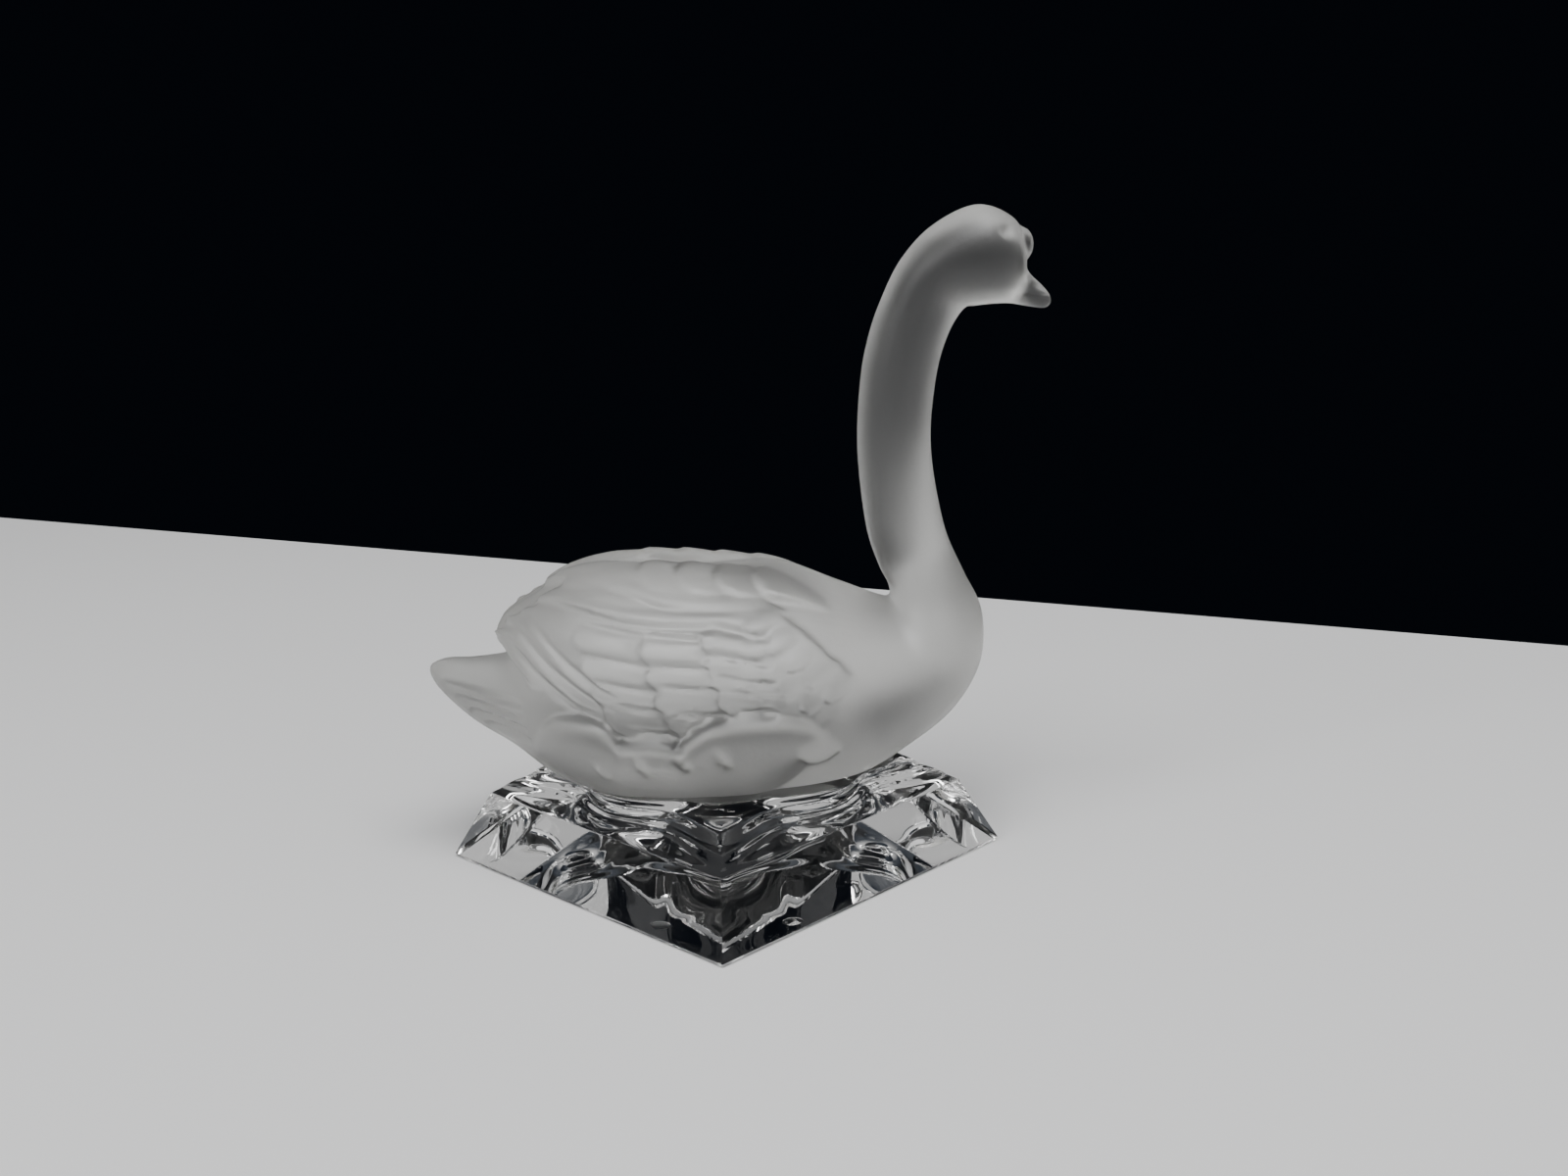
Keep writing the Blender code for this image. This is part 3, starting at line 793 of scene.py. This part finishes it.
# %% Press the feathers' strokes
SIDE_SHARPNESS = 2.0
SIDE_START = 0.4
FLANK_SAMPLES = 120

x = spots[:, 0] / SWAN_UNIT
y = np.abs(spots[:, 1]) / SWAN_UNIT
z = (spots[:, 2] - WATER_LEVEL) / SWAN_UNIT

wing_low = np.interp(x, [row[0] for row in WING_OUTLINE], [row[1] for row in WING_OUTLINE])
flank_x = np.linspace(FLANK_LOBES[0][0], FLANK_LOBES[-1][1], FLANK_SAMPLES)
flank_high = np.interp(x, flank_x, [flank_top(place_x) for place_x in flank_x], -99.0, -99.0)
on_side = np.clip(np.abs(normals[:, 1]) * SIDE_SHARPNESS - SIDE_START, 0.0, 1.0)
above_flank = np.clip(z - flank_high, 0.0, 1.0)
depths = stroke_depths(wing_strokes, x, z) * on_side * above_flank * (z > wing_low)
depths += stroke_depths(tail_strokes, x, z) * on_side * (z < wing_low - 0.5)
depths += stroke_depths(face_strokes, x, z) * on_side * (x > FACE_START)
print("deepest stroke in mm", round(float(depths.max()), 2))

# %% Press the flank's crease and the eyes
CREASE_ENDS = (-28.0, -22.0, 12.0, 18.0)
CREASE = {"depth": 0.4, "above": 0.6, "width": 0.8}
CREST = {"depth": -0.35, "above": -1.8, "width": 1.5}
EYE_CENTRE = (50.0, 6.2, 92.8)
EYE_RADIUS = 1.3
EYE_DEPTH = 1.0

crease_fade = np.interp(x, CREASE_ENDS, (0.0, 1.0, 1.0, 0.0)) * on_side
for line in (CREASE, CREST):
    aside = (z - flank_high - line["above"]) / line["width"]
    depths += line["depth"] * crease_fade * np.exp(-(aside**2))
eye = (x - EYE_CENTRE[0]) ** 2 + (y - EYE_CENTRE[1]) ** 2 + (z - EYE_CENTRE[2]) ** 2
depths += EYE_DEPTH * np.exp(-eye / EYE_RADIUS**2)
spots -= normals * (depths * SWAN_UNIT)[:, None]
swan.data.vertices.foreach_set("co", spots.ravel())
swan.data.update()
print("deepest press in mm", round(float(depths.max()), 2))

# %% [markdown]
# ## Fewer triangles
#
# The melt gives far more faces than the forms need. They are split into
# triangles and thinned where the surface is nearly flat, and the feathers'
# edges keep theirs.

# %% Thin the mesh
SWAN_TRIANGLES = 130000

split = swan.modifiers.new("split", "TRIANGULATE")
split.quad_method = "BEAUTY"
applied(swan, split)
thin = swan.modifiers.new("thin", "DECIMATE")
thin.ratio = min(1.0, SWAN_TRIANGLES / len(swan.data.polygons))
applied(swan, thin)
print("swan triangles", len(swan.data.polygons))

# %% [markdown]
# ## The base
#
# The base is a square block that stands on its corner to the camera. Its four
# sides lean inwards and are flat and polished. From their upper rim, terraces
# climb to the swan like ripples round a bird on water. Each terrace is a ring
# somewhere between a square and an ellipse, with a wave in it, and a smooth
# curve through the rings rounds the terraces as melted glass is round.

# %% List the terraces
rim = BASE_SIDE / math.sqrt(2) - BASE_FACE_INSET
low = BASE_SIDE / math.sqrt(2)
slant = BASE_FACE_INSET / BASE_FACE_HEIGHT

# reach in x, reach in y, roundness, wave, height
FLAT_COURSES = [
    (low - BASE_EDGE_ROUND * 1.4, low - BASE_EDGE_ROUND * 1.4, 1.0, 0.0, 0.0),
    (low - BASE_EDGE_ROUND * slant, low - BASE_EDGE_ROUND * slant, 1.0, 0.0, BASE_EDGE_ROUND),
]

# way in from the rim in x and in y in mm, roundness, share of the wave, height in mm
TERRACE_ROWS = [
    (-0.08, -0.08, 1.00, 0.00, 11.68),
    (0.12, 0.12, 1.00, 0.02, 11.92),
    (1.4, 1.4, 1.01, 0.20, 12.4),
    (3.4, 3.4, 1.03, 0.70, 12.9),
    (4.9, 4.9, 1.05, 1.00, 13.5),
    (6.3, 6.3, 1.07, 1.00, 14.2),
    (8.0, 8.2, 1.10, 1.00, 14.7),
    (9.4, 10.0, 1.15, 1.00, 15.4),
    (10.3, 12.2, 1.25, 0.90, 16.1),
    (11.0, 16.5, 1.50, 0.60, 16.5),
    (11.8, 19.6, 1.85, 0.30, 16.9),
    (13.0, 20.6, 1.95, 0.10, 17.0),
]
TERRACES = [
    (rim - in_x / 1000, rim - in_y / 1000, roundness, RIPPLE_DEPTH * wave, height / 1000)
    for in_x, in_y, roundness, wave, height in TERRACE_ROWS
]
print("terrace rows", len(TERRACES))

# %% Shape the rippled base
BASE_AROUND = 256
RINGS_PER_COURSE = 8

base_rings = list(FLAT_COURSES)
for k in range((len(TERRACES) - 1) * RINGS_PER_COURSE + 1):
    t = k / RINGS_PER_COURSE
    base_rings.append([curve_through([row[i] for row in TERRACES], t) for i in range(5)])


def terrace_reach(turn, reach_x, reach_y, roundness, wave):
    """Distance from the axis to a terrace's edge; roundness 1 is a square on its corner."""
    c = abs(math.cos(turn))
    s = abs(math.sin(turn))
    plain = ((c / reach_x) ** roundness + (s / reach_y) ** roundness) ** (-1 / roundness)
    return plain * (1 + wave / reach_x * math.cos(4 * math.pi * s / (c + s)))


def base_place(turn, share):
    """A corner of the base's skin, from the middle underneath to the middle on top."""
    row = round(share * (len(base_rings) + 1))
    if row == 0:
        return Vector((0, 0, 0))
    if row > len(base_rings):
        return Vector((0, 0, WATER_LEVEL))
    ring = base_rings[row - 1]
    reach = terrace_reach(turn, *ring[:4])
    return Vector((reach * math.cos(turn), reach * math.sin(turn), ring[4]))


base = rolled_skin("base", BASE_AROUND, len(base_rings) + 1, base_place)
print("base faces", len(base.data.polygons))

# %% [markdown]
# ## Satin glass
#
# The swan's skin is etched with acid. The glass inside is as clear as the
# base, but its surface has pits far too small to see, which scatter the
# light. So the shader is plain glass with a rough surface: full transmission,
# high roughness. A fine bump and a slow change in roughness stand for the
# uneven etching.

# %% Start a glass material
GLASS_IOR = 1.52


def glass(name, tint, roughness):
    """A glass material, with its nodes and its shader."""
    made = bpy.data.materials.new(name)
    made.use_nodes = True
    shader = made.node_tree.nodes["Principled BSDF"]
    shader.inputs["Base Color"].default_value = (*tint, 1.0)
    shader.inputs["Roughness"].default_value = roughness
    shader.inputs["IOR"].default_value = GLASS_IOR
    shader.inputs["Transmission Weight"].default_value = 1.0
    return made, made.node_tree, shader


def noise(tree, scale, detail):
    """A noise in the object's own coordinates."""
    where = tree.nodes.new("ShaderNodeTexCoord")
    pattern = tree.nodes.new("ShaderNodeTexNoise")
    pattern.inputs["Scale"].default_value = scale
    pattern.inputs["Detail"].default_value = detail
    tree.links.new(where.outputs["Object"], pattern.inputs["Vector"])
    return pattern


def bumped(tree, shader, pattern, strength, depth):
    """Sends a pattern to the shader's normal as a bump."""
    bump = tree.nodes.new("ShaderNodeBump")
    bump.inputs["Strength"].default_value = strength
    bump.inputs["Distance"].default_value = depth
    tree.links.new(pattern.outputs["Fac"], bump.inputs["Height"])
    tree.links.new(bump.outputs["Normal"], shader.inputs["Normal"])


print("glass bends light by", GLASS_IOR)

# %% Make the satin glass
SATIN_TINT = (0.755, 0.752, 0.73)
SATIN_ROUGHNESS = 0.41
EVEN_ETCHING = 0.37
DEEP_ETCHING = 0.45

satin, satin_tree, satin_shader = glass("satin_glass", SATIN_TINT, SATIN_ROUGHNESS)
bumped(satin_tree, satin_shader, noise(satin_tree, 900.0, 3.0), 0.25, 0.0001)
etching = satin_tree.nodes.new("ShaderNodeMapRange")
etching.inputs["To Min"].default_value = EVEN_ETCHING
etching.inputs["To Max"].default_value = DEEP_ETCHING
slow = noise(satin_tree, 60.0, 2.0)
satin_tree.links.new(slow.outputs["Fac"], etching.inputs["Value"])
satin_tree.links.new(etching.outputs["Result"], satin_shader.inputs["Roughness"])
print("satin glass ready")

# %% [markdown]
# ## Clear glass
#
# The base is the same glass, polished. Its shader has no roughness, so it
# bends and mirrors what is round it. Pressed and polished glass is never
# perfectly even: a very faint, slow bump gives the reflections their slight
# swim.

# %% Make the clear glass
CLEAR_TINT = (0.99, 0.99, 0.985)

clear, clear_tree, clear_shader = glass("clear_glass", CLEAR_TINT, 0.0)
bumped(clear_tree, clear_shader, noise(clear_tree, 45.0, 1.0), 0.1, 0.0003)
print("clear glass ready")

# %% [markdown]
# ## The swan on the water
#
# The swan stands on the polished water with a small flat foot under its belly,
# and round the foot a film of air, thin as heavy paper, is left between the two
# glass faces. It can't be seen from outside, but the glass needs it: the water
# then mirrors the dark of the room into the base, whose flat faces look slate
# grey, where a solid joint would show the pale belly from below. So the belly
# is cut flat just above the water, and a union with the foot and the base
# makes one closed skin. Each side brings its own material, so the satin ends
# exactly at the water's edge.

# %% Cut the belly flat
AIR_FILM = 0.00015

deselect_all()
swan.select_set(True)
bpy.context.view_layer.objects.active = swan
bpy.ops.object.mode_set(mode="EDIT")
bpy.ops.mesh.select_all(action="SELECT")
bpy.ops.mesh.bisect(
    plane_co=(0, 0, WATER_LEVEL + AIR_FILM),
    plane_no=(0, 0, 1),
    use_fill=True,
    clear_inner=True,
    threshold=SAME_SPOT,
)
bpy.ops.object.mode_set(mode="OBJECT")
print("lowest corner of the swan", round(min(vert.co.z for vert in swan.data.vertices), 5))

# %% Make the foot
FOOT_RADII = (0.0022, 0.0016)
FOOT_REACH = 3
FOOT_AROUND = 96

deselect_all()
bpy.ops.mesh.primitive_cylinder_add(vertices=FOOT_AROUND, radius=1, depth=2)
foot = bpy.context.object
for vert in foot.data.vertices:
    vert.co.x *= FOOT_RADII[0]
    vert.co.y *= FOOT_RADII[1]
    vert.co.z = WATER_LEVEL + AIR_FILM / 2 + vert.co.z * AIR_FILM * FOOT_REACH
print("foot corners", len(foot.data.vertices))

# %% Join swan and base
SMOOTH_BELOW = math.radians(32)

swan.data.materials.clear()
swan.data.materials.append(satin)
foot.data.materials.append(clear)
base.data.materials.append(clear)
for other in (foot, base):
    union = swan.modifiers.new("union", "BOOLEAN")
    union.operation = "UNION"
    union.solver = "EXACT"
    union.material_mode = "TRANSFER"
    union.object = other
    applied(swan, union)
    bpy.data.objects.remove(other, do_unlink=True)
deselect_all()
swan.select_set(True)
bpy.context.view_layer.objects.active = swan
bpy.ops.object.shade_smooth_by_angle(angle=SMOOTH_BELOW)

triangles = sum(len(face.vertices) - 2 for face in swan.data.polygons)
print("materials", [slot.name for slot in swan.data.materials], "triangles", triangles)

# %% Tell the frame which piece this is
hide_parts("swan_figurine")
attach(swan, "root")
print("piece", swan.name)

# %% [markdown]
# ## The floor
#
# The swan stands on a pale, matt floor. Glass shows what is round it, so the
# floor's far edge matters as much as its colour: beyond it the room is dark,
# and the dark shows through the neck and in the base's flat faces.

# %% Lay the floor
FLOOR_CELLS = (24, 16)
FLOOR_LEVEL = -0.0001
FLOOR_WIDE = 2.4
FLOOR_DEEP = 1.6
FLOOR_EDGE = Vector((-0.107, 0.2735))
FLOOR_TURN = math.radians(-26.1)

deselect_all()
bpy.ops.mesh.primitive_grid_add(
    x_subdivisions=FLOOR_CELLS[0],
    y_subdivisions=FLOOR_CELLS[1],
    size=1,
)
floor = bpy.context.object
floor.name = "floor"
for vert in floor.data.vertices:
    along = vert.co.x * FLOOR_WIDE
    off = (vert.co.y - 0.5) * FLOOR_DEEP
    vert.co.x = FLOOR_EDGE.x + along * math.cos(FLOOR_TURN) - off * math.sin(FLOOR_TURN)
    vert.co.y = FLOOR_EDGE.y + along * math.sin(FLOOR_TURN) + off * math.cos(FLOOR_TURN)
    vert.co.z = FLOOR_LEVEL
print("floor corners", len(floor.data.vertices))

# %% Paint the floor
FLOOR_PALE = (0.84, 0.84, 0.845, 1.0)

floor_paint = bpy.data.materials.new("pale_matt_floor")
floor_paint.use_nodes = True
floor_shader = floor_paint.node_tree.nodes["Principled BSDF"]
floor_shader.inputs["Base Color"].default_value = FLOOR_PALE
floor_shader.inputs["Roughness"].default_value = 0.7
bumped(floor_paint.node_tree, floor_shader, noise(floor_paint.node_tree, 300.0, 4.0), 0.1, 0.0002)
floor.data.materials.append(floor_paint)
print("floor ready")

# %% [markdown]
# ## The room
#
# The room is given by the sky colour. Behind the swan it is almost black, at
# the sides it is dim, and above and on the camera's side it is a soft pale
# grey. The satin glass blurs all this: its core goes dark where one looks
# through to the dark behind, and its edges stay light because they bend the
# light from above and from the floor towards the eye.

# %% Paint the room
LIGHT_AIM = (0.0, -0.72, 0.69)
BACK_DARK = (0.0018, 0.0024, 0.004)
HALL_DIM = (0.027, 0.033, 0.043)
PALE = (0.55, 0.55, 0.55)
world = bpy.data.worlds.new("room")
bpy.context.scene.world = world
world.use_nodes = True
room = world.node_tree
aim = room.nodes.new("ShaderNodeTexCoord")
towards_light = room.nodes.new("ShaderNodeVectorMath")
towards_light.operation = "DOT_PRODUCT"
towards_light.inputs[1].default_value = LIGHT_AIM
shades = room.nodes.new("ShaderNodeValToRGB")
room.links.new(aim.outputs["Generated"], towards_light.inputs[0])
room.links.new(towards_light.outputs["Value"], shades.inputs["Fac"])
room.links.new(shades.outputs["Color"], room.nodes["Background"].inputs["Color"])
ramp = shades.color_ramp
ramp.elements[0].position = 0.0
ramp.elements[0].color = (*BACK_DARK, 1.0)
ramp.elements[1].position = 0.65
ramp.elements[1].color = (*PALE, 1.0)
for position, shade in ((0.12, HALL_DIM), (0.30, HALL_DIM)):
    ramp.elements.new(position).color = (*shade, 1.0)
print("room ready")

# %% [markdown]
# ## How far light is followed
#
# A ray that enters the base is mirrored many times between its inner faces
# before it finds a way out. The usual four mirrorings end in black corners,
# so rays are followed much further. The light that glass gathers on the floor
# under itself is left out, because the floor under the real base lies in its
# shade and is dark.

# %% Follow the light through the glass
cycles = bpy.context.scene.cycles
cycles.max_bounces = 32
cycles.transmission_bounces = 32
cycles.glossy_bounces = 24
cycles.caustics_refractive = False
print("bounces", cycles.max_bounces)

# %% [markdown]
# ## The lights
#
# A wide panel above and a little in front gives the soft light, and a smaller
# one to the left gives the clear highlights on the base's ridges.

# %% Hang the lights


def panel(name, spot, towards, width, depth, power):
    """A rectangular lamp at spot that faces towards a point."""
    bpy.ops.object.light_add(type="AREA", location=spot)
    lamp = bpy.context.object
    lamp.name = name
    lamp.data.shape = "RECTANGLE"
    lamp.data.size = width
    lamp.data.size_y = depth
    lamp.data.energy = power
    look = Vector(towards) - Vector(spot)
    lamp.rotation_mode = "QUATERNION"
    lamp.rotation_quaternion = look.to_track_quat("-Z", "Y")
    return lamp


panel("ceiling_panel", (0.1, -0.55, 1.1), (0, 0, 0.03), 1.0, 0.6, 14.0)
panel("left_panel", (-0.8, -0.7, 0.7), (0, 0, 0.03), 0.4, 0.4, 3.0)
print("lights ready")
